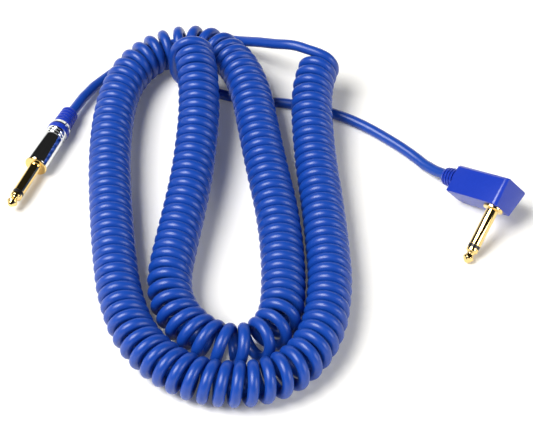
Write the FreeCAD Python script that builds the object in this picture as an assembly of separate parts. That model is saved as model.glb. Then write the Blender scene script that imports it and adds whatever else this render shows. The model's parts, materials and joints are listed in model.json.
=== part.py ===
"""Curly instrument cable with a straight and a right-angle 6.35 mm phone plug. Millimetres.

The cable lies on a table, +Z up. The origin is on the table, below the middle of the two plugs.
"""
import FreeCAD
import Part
import bisect
import math
import os

Vector = FreeCAD.Vector
X_AXIS = Vector(1, 0, 0)
Y_AXIS = Vector(0, 1, 0)
Z_AXIS = Vector(0, 0, 1)

# Shared sizes of both phone plugs
SHAFT_D = 6.35
TIP_END_D = 2.4
BALL_D = 5.9
NECK_D = 3.8
TIP_END_TO_BALL = 2.7
TIP_END_TO_NECK = 5.0
NECK_TO_SHOULDER = 1.7
TIP_LENGTH = 8.4
RING_WIDTH = 1.8
ROD_D = 2.4
ROD_TUBE_WALL = 0.65
SLIP = 0.05
LUG_THICKNESS = 0.6
LUG_TAIL_WIDTH = 2.4
LUG_ROOT = 0.5
RIVET_D = 3.4
RIVET_HEIGHT = 0.8

# Cable: jacket, insulated core, inner conductor and twisted screen
JACKET_D = 5.8
CORE_D = 2.8
CONDUCTOR_D = 0.9
CONDUCTOR_BEND = 1.2
SCREEN_D = 1.0

# Straight plug, sizes along its axis from the front face of the flange
STRAIGHT_SHAFT = 30.5
FLANGE_THICKNESS = 1.3
BOSS_LENGTH = 7.0
THREAD_ENGAGED = 5.0
STRAIGHT_GROUND_LUG_D = 8.8
STRAIGHT_WASHER_D = 5.8
STRAIGHT_WASHER = 1.2
STRAIGHT_TIP_LUG_D = 5.2
STRAIGHT_TAG_HEIGHT = 2.1
STRAIGHT_TAG_LENGTH = 4.4
STRAIGHT_JACKET_START = 17.0
STRAIGHT_CORE_LENGTH = 3.0
STRAIGHT_CORE_RUN = 0.1
STRAIGHT_SCREEN_INSET = 0.1
STRAIGHT_SCREEN_RUN = 0.3
STRAIGHT_SCREEN_BEND = 0.6
CLAMP_START = 17.8
CLAMP_LENGTH = 4.6
CLAMP_WALL = 0.6
CLAMP_OPENING = 70.0
BARREL_FRONT_LENGTH = 25.9
BARREL_EDGE = 0.4
GRIP_GROOVES = 3
GRIP_GROOVE_WIDTH = 1.5
GRIP_GROOVE_DEPTH = 0.4
GRIP_GROOVE_END = 0.9
BAND_WIDTH = 3.1
BARREL_RIM_WIDTH = 0.9
BARREL_REAR_LENGTH = 2.1
BARREL_REAR_WALL = 4.2
LINER_WALL = 0.3
LINER_GAP = 0.3
BOOT_HEAD_LENGTH = 3.2
BOOT_LENGTH = 11.2
BOOT_GAP = 0.3
BOOT_RIBS = 5
BOOT_RIB_DEPTH = 0.5
TURNING_GAP = 0.15

# Diameters of the straight plug, worked outwards from the cable's jacket
BOOT_CLEARANCE = 0.35
BOOT_WALL = 0.8
BOOT_SHOULDER = 0.85
BOOT_FLARE = 0.4
BOOT_TAPER = 1.0
BARREL_HEAD_ROOM = 0.4
BARREL_WALL = 0.7
BARREL_RIM_PROUD = 0.2
THREAD_WALL = 0.85
BAND_SEAT_DEPTH = 0.35
BAND_PROUD = 0.25
FLANGE_PROUD = 0.35
BOOT_BORE_D = JACKET_D + 2 * BOOT_CLEARANCE
BOOT_NECK_D = BOOT_BORE_D + 2 * BOOT_WALL
BOOT_HEAD_D = BOOT_NECK_D + 2 * BOOT_SHOULDER
BOOT_RIB_D = BOOT_HEAD_D + 2 * BOOT_FLARE
BOOT_END_D = BOOT_RIB_D - BOOT_TAPER
BARREL_BORE_D = BOOT_HEAD_D + 2 * BARREL_HEAD_ROOM
BARREL_D = BARREL_BORE_D + 2 * BARREL_WALL
BARREL_RIM_D = BARREL_D + 2 * BARREL_RIM_PROUD
BARREL_REAR_D = BOOT_RIB_D
BOSS_D = BARREL_D - 2 * (THREAD_WALL + SLIP)
BAND_SEAT_D = BARREL_D - 2 * BAND_SEAT_DEPTH
BAND_D = BARREL_D + 2 * BAND_PROUD
FLANGE_D = BARREL_D + 2 * FLANGE_PROUD

# Right-angle plug, sizes from the middle of the shaft on the front face of the housing
ANGLE_SHAFT = 31.0
COLLAR_D = 10.9
COLLAR_THICKNESS = 1.5
SOCKET_D = 8.2
HOUSING_DEPTH = 15.8
HOUSING_TO_CABLE_SIDE = 28.4
HOUSING_TO_FAR_END = 5.7
HOUSING_TOP = 7.2
HOUSING_FRONT_BOTTOM = 7.4
HOUSING_BACK_BOTTOM = 11.4
HOUSING_END_CHAMFER = 1.6
HOUSING_BACK_BEVEL = 2.0
HOUSING_ROUNDING = 1.1
HOUSING_HEEL_ROUNDING = 4.5
HOUSING_WALL = 3.0
CAVITY_DEPTH = 10.2
CAVITY_HALF_HEIGHT = 4.4
CAVITY_TO_CABLE_SIDE = 19.5
CAVITY_TO_FAR_END = 4.6
ANGLE_GROUND_LUG_D = 8.2
ANGLE_GROUND_TAIL = 18.5
ANGLE_GROUND_TAIL_Z = -1.6
ANGLE_WASHER_D = 6.8
ANGLE_WASHER = 1.0
ANGLE_TIP_LUG_D = 4.8
ANGLE_TIP_TAIL = 12.0
ANGLE_CORE_LENGTH = 5.5
ANGLE_CORE_RUN = 1.5
ANGLE_SCREEN_Z = -1.2
ANGLE_SCREEN_RUN = 0.8
ANGLE_SCREEN_BEND = 1.2
CABLE_SIDE_X = -9.4
CABLE_SIDE_Z = 0.9
NECK_WALL = 2.2
NECK_TAPER = 0.8
NECK_SLEEVE_END_D = JACKET_D + 2 * NECK_WALL
NECK_SLEEVE_D = NECK_SLEEVE_END_D + NECK_TAPER
NECK_SLEEVE_LENGTH = 10.0
NECK_RIBS = 4
NECK_RIB_DEPTH = 0.6

# Coil of the curly stretch: its turns close up at the ends, and the last half turn opens out
COIL_D = 22.9
COIL_TURNS = 22.375
COIL_END_GAP = 1.3
COIL_END_PITCH = JACKET_D + COIL_END_GAP
COIL_CLOSING_TURNS = 2.0
COIL_START_ANGLE = 90.0
COIL_FLARE = 2.8
COIL_FLARE_TURNS = 0.5
COIL_SIDES = 4
LEAD_SIDES = 8
BIARCS_PER_TURN = 2
ARC_SHARE = 0.45
LINE_STEPS = 40
LINE_REACH = 1.5
TURN_STEP = 0.001
GAP_SAMPLES = 24
TOUCH = 0.01

# Where the plugs lie on the table: the straight one flat on its flange, the other on its tip
STRAIGHT_X = -124.45
STRAIGHT_Y = 9.84
STRAIGHT_YAW = 69.43
ANGLE_X = 119.9
ANGLE_Y = -29.6
ANGLE_HEIGHT = 16.77
ANGLE_YAW = -121.56
ANGLE_PITCH = 27.90
ANGLE_ROLL = 25.67
STRAIGHT_SEAT = FreeCAD.Placement(
    Vector(STRAIGHT_X, STRAIGHT_Y, FLANGE_D / 2), FreeCAD.Rotation(STRAIGHT_YAW, 0, 0)
)
ANGLE_SEAT = FreeCAD.Placement(
    Vector(ANGLE_X, ANGLE_Y, ANGLE_HEIGHT), FreeCAD.Rotation(ANGLE_YAW, ANGLE_PITCH, ANGLE_ROLL)
)

# The cable's route over the table, from the straight plug to the right-angle plug
STRAIGHT_LEAD_RUN = 64.0
STRAIGHT_LEAD_ROUTE = [
    (-90.2, 83.6, 3), (-76.6, 99.4, 3), (-62.4, 109.4, 3), (-46.0, 115.0, 3.3),
    (-28.5, 114.0, 6), (-13.0, 104.8, 12), (-3.5, 96.8, 18.8), (6.7, 88.5, 24.5),
]
STRAIGHT_LEAD_LAST_RUN = 10.9
COIL_ROUTE = [
    (31.7, 77.0, 19.5), (27.9, 65.6, 18.6), (26.2, 49.0, 17.2), (26.6, 28.1, 15),
    (28.1, 4.6, 12.9), (30.7, -21.5, 11.9), (32.7, -50.5, 11.6), (33.8, -79.2, 11.6),
    (28.8, -109.6, 11.6), (14.0, -131.9, 11.6), (-9.2, -141.8, 11.6), (-37.5, -135.7, 11.6),
    (-61.2, -115.3, 11.6), (-72.2, -86.3, 11.6), (-76.9, -57.3, 11.6), (-80.7, -25.2, 11.6),
    (-83.6, 6.0, 11.6), (-84.2, 37.9, 11.6), (-81.1, 66.7, 11.6), (-70.8, 89.0, 11.6),
    (-50.3, 102.8, 11.6), (-27.8, 99.2, 13), (-14.4, 79.6, 16.8), (-7.2, 56.3, 18),
    (-2.6, 25.8, 16.6), (2.1, -2.7, 14.6), (7.0, -29.2, 12.9), (9.7, -57.4, 11.8),
    (10.3, -87.4, 11.6), (0.2, -112.7, 11.6), (-16.2, -118.4, 11.6), (-36.4, -108.6, 11.6),
    (-49.0, -81.8, 11.6), (-46.2, -52.6, 11.8), (-41.9, -28.3, 12.8), (-38.5, -4.4, 14.8),
    (-36.7, 17.0, 17.6), (-35.6, 37.6, 20.6), (-36.3, 56.4, 23.8), (-37.5, 70.2, 25.6),
    (-38.8, 81.8, 25.8),
]
ANGLE_LEAD_FIRST_RUN = 10.0
ANGLE_LEAD_ROUTE = [
    (-31.2, 74.2, 3.6), (-22.0, 67.4, 3), (-9.0, 65.0, 3), (4.0, 63.7, 3),
    (17.3, 61.8, 3), (34.8, 56.5, 3), (51.8, 47.9, 3), (67.8, 35.2, 3),
    (81.8, 22.0, 3),
]
ANGLE_LEAD_LAST_RUN = 9.0


def turned(outline):
    """A solid of revolution about the X axis. The outline holds (x, radius) points."""
    points = [Vector(x, 0, r) for x, r in outline]
    face = Part.Face(Part.makePolygon(points + [points[0]]))
    return face.revolve(Vector(0, 0, 0), X_AXIS, 360)


def disc(x, thickness, diameter, bore=0.0):
    """A flat ring across the X axis, from x towards +X."""
    ring = Part.makeCylinder(diameter / 2, thickness, Vector(x, 0, 0), X_AXIS)
    if bore > 0:
        ring = ring.cut(Part.makeCylinder(bore / 2, thickness, Vector(x, 0, 0), X_AXIS))
    return ring


def box(low, high):
    size = high - low
    return Part.makeBox(size.x, size.y, size.z, low)


def wire_section(diameter, sides, centre, heading):
    """A faceted section square to the heading, with its corners on the wire's diameter."""
    side = heading.cross(Z_AXIS).normalize()
    up = side.cross(heading).normalize()
    corners = []
    for index in range(sides):
        angle = 2 * math.pi * (index + 0.5) / sides
        corners.append(centre + (side * math.cos(angle) + up * math.sin(angle)) * (diameter / 2))
    return Part.makePolygon(corners + [corners[0]])


def bent_wire(diameter, start, along, across, first, radius, last):
    """A wire that runs along one direction, then turns square into another."""
    bend = start + along * first
    centre = bend + across * radius
    after = bend + (along + across) * radius
    halfway = centre + (along - across) * (radius * math.sqrt(0.5))
    path = Part.Wire([
        Part.LineSegment(start, bend).toShape(),
        Part.Arc(bend, halfway, after).toShape(),
        Part.LineSegment(after, after + across * last).toShape(),
    ])
    section = wire_section(diameter, LEAD_SIDES, start, along)
    return path.makePipeShell([section], True, False)


# Phone plug core, shared by both plugs. Local +X points from the tip to the cable.


def tip_contact(shaft, rod_end):
    """Tip with its rod, from the tip's end at -shaft to the riveted end behind rod_end."""
    end = -shaft
    ball = end + TIP_END_TO_BALL
    neck = end + TIP_END_TO_NECK
    shoulder = end + TIP_LENGTH
    return turned([
        (end, 0),
        (end, TIP_END_D / 2),
        (ball, BALL_D / 2),
        (neck, NECK_D / 2),
        (neck + NECK_TO_SHOULDER, SHAFT_D / 2),
        (shoulder, SHAFT_D / 2),
        (shoulder, ROD_D / 2),
        (rod_end, ROD_D / 2),
        (rod_end, RIVET_D / 2),
        (rod_end + RIVET_HEIGHT, RIVET_D / 2),
        (rod_end + RIVET_HEIGHT, 0),
    ])


def front_insulator(shaft):
    return disc(TIP_LENGTH - shaft, RING_WIDTH, SHAFT_D, ROD_D + 2 * SLIP)


def rod_insulator(shaft, end):
    start = TIP_LENGTH + RING_WIDTH - shaft
    bore = ROD_D + 2 * SLIP
    return disc(start, end - start, bore + 2 * ROD_TUBE_WALL, bore)


def rod_tube_clearance():
    """Diameter of the holes that the rod's insulating tube passes through."""
    return ROD_D + 2 * ROD_TUBE_WALL + 4 * SLIP


def straight_sleeve():
    bore = rod_tube_clearance() / 2
    start = TIP_LENGTH + RING_WIDTH - STRAIGHT_SHAFT
    end = FLANGE_THICKNESS + BOSS_LENGTH
    return turned([
        (start, bore),
        (start, SHAFT_D / 2),
        (0, SHAFT_D / 2),
        (0, FLANGE_D / 2),
        (FLANGE_THICKNESS, FLANGE_D / 2),
        (FLANGE_THICKNESS, BOSS_D / 2),
        (end, BOSS_D / 2),
        (end, bore),
    ])


STRAIGHT_LUG_X = FLANGE_THICKNESS + BOSS_LENGTH
STRAIGHT_WASHER_X = STRAIGHT_LUG_X + LUG_THICKNESS
STRAIGHT_TAG_X = STRAIGHT_WASHER_X + STRAIGHT_WASHER
STRAIGHT_ROD_END = STRAIGHT_TAG_X + LUG_THICKNESS
BAND_X = FLANGE_THICKNESS + BARREL_FRONT_LENGTH
BARREL_RIM_X = BAND_X + BAND_WIDTH
BARREL_END = BARREL_RIM_X + BARREL_RIM_WIDTH + BARREL_REAR_LENGTH
BARREL_SHOULDER = BARREL_END - BARREL_REAR_WALL
BOOT_HEAD_X = BARREL_SHOULDER - TURNING_GAP - BOOT_HEAD_LENGTH
BOOT_X = BARREL_END + BOOT_GAP
BOOT_END = BOOT_X + BOOT_LENGTH


def straight_tip_lug():
    """A riveted ring with a tag bent back along the plug, with a hole for the conductor."""
    ring = disc(STRAIGHT_TAG_X, LUG_THICKNESS, STRAIGHT_TIP_LUG_D, ROD_D + 2 * SLIP)
    low = STRAIGHT_TAG_HEIGHT
    half = LUG_TAIL_WIDTH / 2
    tag = box(
        Vector(STRAIGHT_TAG_X, -half, low),
        Vector(STRAIGHT_TAG_X + STRAIGHT_TAG_LENGTH, half, low + LUG_THICKNESS),
    )
    return ring.fuse(tag).removeSplitter()


def straight_ground_lug():
    """A ring behind the boss, an arm along the cable and wings folded round the jacket."""
    ring = disc(STRAIGHT_LUG_X, LUG_THICKNESS, STRAIGHT_GROUND_LUG_D, rod_tube_clearance())
    arm_top = -(JACKET_D / 2 + SLIP)
    half = LUG_TAIL_WIDTH / 2
    arm = box(
        Vector(STRAIGHT_LUG_X, -half, arm_top - CLAMP_WALL),
        Vector(CLAMP_START + CLAMP_LENGTH, half, arm_top),
    )
    inner = JACKET_D + 2 * SLIP
    wings = disc(CLAMP_START, CLAMP_LENGTH, inner + 2 * CLAMP_WALL, inner)
    reach = JACKET_D
    slope = math.radians(CLAMP_OPENING)
    opening = Part.makePolygon([
        Vector(CLAMP_START, 0, 0),
        Vector(CLAMP_START, -reach * math.sin(slope), reach * math.cos(slope)),
        Vector(CLAMP_START, -reach, reach),
        Vector(CLAMP_START, reach, reach),
        Vector(CLAMP_START, reach * math.sin(slope), reach * math.cos(slope)),
        Vector(CLAMP_START, 0, 0),
    ])
    wings = wings.cut(Part.Face(opening).extrude(X_AXIS * CLAMP_LENGTH))
    jacket = Part.makeCylinder(inner / 2, CLAMP_LENGTH, Vector(CLAMP_START, 0, 0), X_AXIS)
    return ring.fuse([arm.cut(jacket), wings]).removeSplitter()


def straight_core_wire():
    start = Vector(STRAIGHT_JACKET_START - STRAIGHT_CORE_LENGTH, 0, 0)
    rise = STRAIGHT_TAG_HEIGHT - CONDUCTOR_BEND
    return bent_wire(CONDUCTOR_D, start, -X_AXIS, Z_AXIS, STRAIGHT_CORE_RUN, CONDUCTOR_BEND, rise)


def straight_shield_wire():
    """The twisted screen, from the jacket's end down to the arm of the ground lug."""
    below = JACKET_D / 2 - SCREEN_D / 2 - STRAIGHT_SCREEN_INSET
    start = Vector(STRAIGHT_JACKET_START, 0, -below)
    bend = STRAIGHT_SCREEN_BEND
    drop = JACKET_D / 2 + SLIP - below - bend
    return bent_wire(SCREEN_D, start, -X_AXIS, -Z_AXIS, STRAIGHT_SCREEN_RUN, bend, drop)


def barrel():
    """One turned handle: thread bore, grip grooves, seat for the band, a rim and a rear cone."""
    outer = BARREL_D / 2
    bore = BARREL_BORE_D / 2
    boss = BOSS_D / 2 + SLIP
    head = BOOT_HEAD_D / 2 + TURNING_GAP
    hole = BOOT_NECK_D / 2 + TURNING_GAP
    seat = BAND_SEAT_D / 2
    rim = BARREL_RIM_D / 2
    first = FLANGE_THICKNESS
    outline = [(first, boss), (first, outer - BARREL_EDGE), (first + BARREL_EDGE, outer)]
    grooves_start = BAND_X - GRIP_GROOVE_END - GRIP_GROOVES * GRIP_GROOVE_WIDTH
    for index in range(GRIP_GROOVES):
        x = grooves_start + index * GRIP_GROOVE_WIDTH
        outline += [(x, outer), (x + GRIP_GROOVE_WIDTH / 2, outer - GRIP_GROOVE_DEPTH)]
    outline += [
        (BAND_X - GRIP_GROOVE_END, outer),
        (BAND_X, outer),
        (BAND_X, seat),
        (BARREL_RIM_X, seat),
        (BARREL_RIM_X, rim),
        (BARREL_RIM_X + BARREL_RIM_WIDTH, rim),
        (BARREL_END, BARREL_REAR_D / 2),
        (BARREL_END, hole),
        (BARREL_SHOULDER, hole),
        (BARREL_SHOULDER, head),
        (BOOT_HEAD_X - BOOT_GAP, head),
        (BOOT_HEAD_X - BOOT_GAP, bore),
        (first + THREAD_ENGAGED, bore),
        (first + THREAD_ENGAGED, boss),
    ]
    return turned(outline)


def grip_band():
    inner = BAND_SEAT_D / 2 + SLIP
    outer = BAND_D / 2
    end = BARREL_RIM_X
    return turned([(BAND_X, inner), (BAND_X, outer), (end, outer), (end, inner)])


def ribbed(outline, start, length, front, end, ribs, depth):
    """Adds a tapering wall of stepped ribs, each swelling towards the plug's body."""
    pitch = length / ribs
    for index in range(ribs):
        x = start + index * pitch
        here = front + (end - front) * index / ribs
        outline += [(x, here / 2), (x + pitch, here / 2 - depth)]


def straight_boot():
    bore = BOOT_BORE_D / 2
    outline = [
        (BOOT_HEAD_X, bore),
        (BOOT_HEAD_X, BOOT_HEAD_D / 2),
        (BOOT_HEAD_X + BOOT_HEAD_LENGTH, BOOT_HEAD_D / 2),
        (BOOT_HEAD_X + BOOT_HEAD_LENGTH, BOOT_NECK_D / 2),
        (BOOT_X, BOOT_NECK_D / 2),
    ]
    ribbed(outline, BOOT_X, BOOT_LENGTH, BOOT_RIB_D, BOOT_END_D, BOOT_RIBS, BOOT_RIB_DEPTH)
    return turned(outline + [(BOOT_END, bore)])


def straight_liner():
    """An insulating tube inside the barrel, between the lugs and the metal wall."""
    outer = BARREL_BORE_D - 2 * LINER_GAP
    start = STRAIGHT_WASHER_X + LINER_GAP
    return disc(start, BOOT_HEAD_X - start, outer, outer - 2 * LINER_WALL)


def place(shape, seat):
    """Moves a piece from its plug's own frame to the table's."""
    placed = shape.copy()
    placed.Placement = seat.multiply(shape.Placement)
    return placed


def straight_plug():
    """Nodes of the straight plug in the table's frame."""
    core_start = STRAIGHT_JACKET_START - STRAIGHT_CORE_LENGTH
    bore = ROD_D + 2 * SLIP
    pieces = {
        "straight_tip_contact": tip_contact(STRAIGHT_SHAFT, STRAIGHT_ROD_END),
        "straight_front_insulator": front_insulator(STRAIGHT_SHAFT),
        "straight_rod_insulator": rod_insulator(STRAIGHT_SHAFT, STRAIGHT_WASHER_X),
        "straight_sleeve": straight_sleeve(),
        "straight_ground_lug": straight_ground_lug(),
        "straight_rear_insulator": disc(STRAIGHT_WASHER_X, STRAIGHT_WASHER, STRAIGHT_WASHER_D, bore),
        "straight_tip_lug": straight_tip_lug(),
        "straight_cable_core": disc(core_start, STRAIGHT_CORE_LENGTH, CORE_D),
        "straight_core_wire": straight_core_wire(),
        "straight_shield_wire": straight_shield_wire(),
        "straight_barrel": barrel(),
        "grip_band": grip_band(),
        "straight_boot": straight_boot(),
        "straight_liner": straight_liner(),
    }
    return {name: place(piece, STRAIGHT_SEAT) for name, piece in pieces.items()}


# Right-angle plug. Local +X points to the tip, +Y to the far end and +Z out of the top face.

ANGLE_LUG_X = -HOUSING_WALL
ANGLE_WASHER_X = ANGLE_LUG_X - LUG_THICKNESS
ANGLE_TAG_X = ANGLE_WASHER_X - ANGLE_WASHER
ANGLE_ROD_END = ANGLE_TAG_X - LUG_THICKNESS
TURN_ROUND = FreeCAD.Placement(Vector(COLLAR_THICKNESS, 0, 0), FreeCAD.Rotation(Z_AXIS, 180))


def facing_tip(piece):
    """Turns a plug core round so that its tip points along +X, out of the collar's face."""
    piece.Placement = TURN_ROUND
    return piece


def angle_sleeve():
    """Shaft tube, collar and the root that the housing is moulded round."""
    bore = rod_tube_clearance() / 2
    start = COLLAR_THICKNESS + ANGLE_SHAFT - TIP_LENGTH - RING_WIDTH
    return turned([
        (start, bore),
        (start, SHAFT_D / 2),
        (COLLAR_THICKNESS, SHAFT_D / 2),
        (COLLAR_THICKNESS, COLLAR_D / 2),
        (0, COLLAR_D / 2),
        (0, SOCKET_D / 2),
        (-HOUSING_WALL, SOCKET_D / 2),
        (-HOUSING_WALL, bore),
    ])


def angle_ground_lug():
    ring = disc(ANGLE_WASHER_X, LUG_THICKNESS, ANGLE_GROUND_LUG_D, rod_tube_clearance())
    half = LUG_TAIL_WIDTH / 2
    tail = box(
        Vector(ANGLE_WASHER_X, -ANGLE_GROUND_TAIL, ANGLE_GROUND_TAIL_Z - half),
        Vector(ANGLE_LUG_X, -rod_tube_clearance() / 2 - half, ANGLE_GROUND_TAIL_Z + half),
    )
    return ring.fuse(tail).removeSplitter()


def angle_tip_lug():
    ring = disc(ANGLE_ROD_END, LUG_THICKNESS, ANGLE_TIP_LUG_D, ROD_D + 2 * SLIP)
    half = LUG_TAIL_WIDTH / 2
    tail = box(
        Vector(ANGLE_ROD_END, -ANGLE_TIP_TAIL, CABLE_SIDE_Z - half),
        Vector(ANGLE_TAG_X, -ROD_D / 2 - LUG_ROOT, CABLE_SIDE_Z + half),
    )
    return ring.fuse(tail).removeSplitter()


def angle_core_wire():
    y = -CAVITY_TO_CABLE_SIDE + ANGLE_CORE_LENGTH
    start = Vector(CABLE_SIDE_X, y, CABLE_SIDE_Z)
    rise = ANGLE_ROD_END - CABLE_SIDE_X - CONDUCTOR_BEND
    return bent_wire(CONDUCTOR_D, start, Y_AXIS, X_AXIS, ANGLE_CORE_RUN, CONDUCTOR_BEND, rise)


def angle_shield_wire():
    """The twisted screen, from the jacket's end up to the tail of the ground lug."""
    start = Vector(CABLE_SIDE_X, -CAVITY_TO_CABLE_SIDE, ANGLE_SCREEN_Z)
    bend = ANGLE_SCREEN_BEND
    rise = ANGLE_WASHER_X - CABLE_SIDE_X - bend
    return bent_wire(SCREEN_D, start, Y_AXIS, X_AXIS, ANGLE_SCREEN_RUN, bend, rise)


def neck_sleeve():
    """The ribbed strain relief moulded on the cable side, as a solid along local +X."""
    length = NECK_SLEEVE_LENGTH
    outline = [(0, 0)]
    ribbed(outline, 0, length, NECK_SLEEVE_D, NECK_SLEEVE_END_D, NECK_RIBS, NECK_RIB_DEPTH)
    return turned(outline + [(length, 0)])


def angle_housing():
    """The moulded block with its slanted underside, ribbed neck and inner space."""
    back = -HOUSING_DEPTH
    side = [
        Vector(0, 0, HOUSING_TOP),
        Vector(back + HOUSING_BACK_BEVEL, 0, HOUSING_TOP),
        Vector(back, 0, HOUSING_TOP - HOUSING_BACK_BEVEL),
        Vector(back, 0, -HOUSING_BACK_BOTTOM),
        Vector(0, 0, -HOUSING_FRONT_BOTTOM),
    ]
    face = Part.Face(Part.makePolygon(side + [side[0]]))
    face.translate(Vector(0, -HOUSING_TO_CABLE_SIDE, 0))
    block = face.extrude(Y_AXIS * (HOUSING_TO_CABLE_SIDE + HOUSING_TO_FAR_END))
    block = block.makeChamfer(HOUSING_END_CHAMFER, edges_at(block, "yz", HOUSING_TO_FAR_END, HOUSING_TOP))
    heel = [
        edge for edge in edges_at(block, "y", -HOUSING_TO_CABLE_SIDE)
        if edge.BoundBox.ZMax < -HOUSING_FRONT_BOTTOM + TOUCH
    ]
    block = block.makeFillet(HOUSING_HEEL_ROUNDING, heel)
    block = block.makeFillet(HOUSING_ROUNDING, edges_at(block, "xz", back, -HOUSING_BACK_BOTTOM))
    sleeve = place(neck_sleeve(), FreeCAD.Placement(
        Vector(CABLE_SIDE_X, -HOUSING_TO_CABLE_SIDE, CABLE_SIDE_Z), FreeCAD.Rotation(Z_AXIS, -90)
    ))
    cavity = box(
        Vector(-HOUSING_WALL - CAVITY_DEPTH, -CAVITY_TO_CABLE_SIDE, -CAVITY_HALF_HEIGHT),
        Vector(-HOUSING_WALL, CAVITY_TO_FAR_END, CAVITY_HALF_HEIGHT),
    )
    reach = HOUSING_TO_CABLE_SIDE + NECK_SLEEVE_LENGTH - CAVITY_TO_CABLE_SIDE
    cable_hole = Part.makeCylinder(
        JACKET_D / 2 + SLIP, reach,
        Vector(CABLE_SIDE_X, -CAVITY_TO_CABLE_SIDE, CABLE_SIDE_Z), -Y_AXIS,
    )
    socket = disc(-HOUSING_WALL, HOUSING_WALL, SOCKET_D + 2 * SLIP)
    return block.fuse(sleeve).cut([cavity, cable_hole, socket]).removeSplitter()


def edges_at(solid, axes, *values):
    """The edges whose ends both have the given values on the named axes."""
    return [
        edge for edge in solid.Edges
        if all(
            abs(getattr(vertex.Point, axis) - value) < TOUCH
            for vertex in edge.Vertexes for axis, value in zip(axes, values)
        )
    ]


def angle_plug():
    """Nodes of the right-angle plug in the table's frame."""
    bore = ROD_D + 2 * SLIP
    shaft_root = COLLAR_THICKNESS - ANGLE_LUG_X
    core_y = -CAVITY_TO_CABLE_SIDE
    core = Part.makeCylinder(
        CORE_D / 2, ANGLE_CORE_LENGTH, Vector(CABLE_SIDE_X, core_y, CABLE_SIDE_Z), Y_AXIS
    )
    pieces = {
        "angle_tip_contact": facing_tip(tip_contact(ANGLE_SHAFT, COLLAR_THICKNESS - ANGLE_ROD_END)),
        "angle_front_insulator": facing_tip(front_insulator(ANGLE_SHAFT)),
        "angle_rod_insulator": facing_tip(rod_insulator(ANGLE_SHAFT, shaft_root + LUG_THICKNESS)),
        "angle_sleeve": angle_sleeve(),
        "angle_ground_lug": angle_ground_lug(),
        "angle_rear_insulator": disc(ANGLE_TAG_X, ANGLE_WASHER, ANGLE_WASHER_D, bore),
        "angle_tip_lug": angle_tip_lug(),
        "angle_cable_core": core,
        "angle_core_wire": angle_core_wire(),
        "angle_shield_wire": angle_shield_wire(),
        "angle_housing": angle_housing(),
    }
    return {name: place(piece, ANGLE_SEAT) for name, piece in pieces.items()}


# The cable: two leads with the coil between them


def rounded_path(points):
    """Straight runs joined by tangent arcs, each as large as its two runs allow."""
    edges = []
    radii = []
    start = points[0]
    for before, corner, after in zip(points, points[1:], points[2:]):
        back = before - corner
        on = after - corner
        reach = ARC_SHARE * min(back.Length, on.Length)
        back.normalize()
        on.normalize()
        half_turn = (math.pi - back.getAngle(on)) / 2
        radius = reach / math.tan(half_turn)
        inward = (back + on).normalize()
        middle = corner + inward * (radius / math.cos(half_turn) - radius)
        edges.append(Part.LineSegment(start, corner + back * reach).toShape())
        edges.append(Part.Arc(corner + back * reach, middle, corner + on * reach).toShape())
        radii.append(radius)
        start = corner + on * reach
    edges.append(Part.LineSegment(start, points[-1]).toShape())
    return Part.Wire(edges), radii


def tube_along(name, path, section):
    """Sweeps the section, and prints the tube's volume beside its section times its length."""
    tube = path.makePipeShell([section], True, False)
    expected = Part.Face(section).Area * path.Length
    print("%s: length %.1f mm" % (name, path.Length))
    print("    volume %.1f mm3, expected %.1f mm3" % (tube.Volume, expected))
    return tube


def lead(name, points):
    path, radii = rounded_path(points)
    section = wire_section(JACKET_D, LEAD_SIDES, points[0], points[1] - points[0])
    tube = tube_along(name, path, section)
    print("    radii " + " ".join("%.1f" % radius for radius in radii))
    return tube


def smooth_line(route):
    """Points on the curve that touches the middle of each run of a route."""
    corners = [Vector(*point) for point in route]
    line = []
    last = len(corners) - 2
    for index in range(1, last + 1):
        corner = corners[index]
        start = corners[0] if index == 1 else (corners[index - 1] + corner) * 0.5
        end = corners[-1] if index == last else (corner + corners[index + 1]) * 0.5
        for step in range(LINE_STEPS):
            t = step / LINE_STEPS
            line.append(start * (1 - t) ** 2 + corner * (2 * t * (1 - t)) + end * t ** 2)
    line.append(corners[-1])
    return line


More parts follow.
